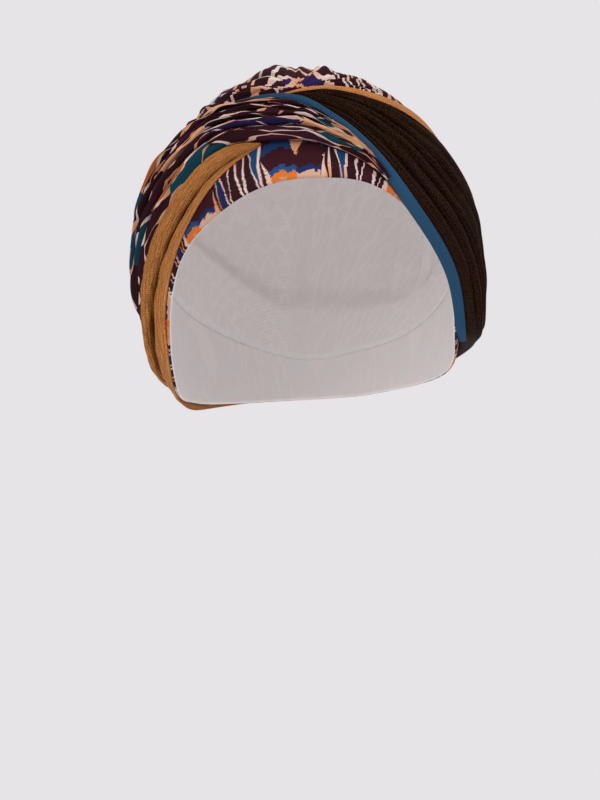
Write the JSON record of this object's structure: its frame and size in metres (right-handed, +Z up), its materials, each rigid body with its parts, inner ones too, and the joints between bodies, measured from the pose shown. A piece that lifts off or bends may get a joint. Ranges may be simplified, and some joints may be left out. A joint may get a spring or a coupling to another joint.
{
  "type": "turban headwrap",
  "caption": "Pre-tied turban headwrap: printed jersey cap with a gathered crown and two pleated wraps, printed and lurex knit, twisted over the forehead.",
  "frame": {"origin": "top of the head that the wrap is worn on, at the inside of the cap's crown, on the head's vertical axis", "axes": "+Z up out of the crown; the face looks towards -Y; +X is towards the wearer's left"},
  "size_m": [0.1855, 0.1904, 0.184],
  "materials": {
    "printed_jersey": "viscose jersey printed maroon, peach, orange, teal and navy",
    "blue_binding": "plain petrol blue jersey binding",
    "brown_lurex": "dark brown knit with metallic thread",
    "tan_lurex": "golden tan rib knit with metallic thread"
  },
  "bodies": {
    "root": {"crown": "printed_jersey", "brow_band": "printed_jersey", "print_band": "printed_jersey", "blue_edge": "blue_binding", "tan_band": "tan_lurex", "brown_band": "brown_lurex", "tan_border": "tan_lurex", "twist_neck": "brown_lurex"}
  },
  "joints": []
}
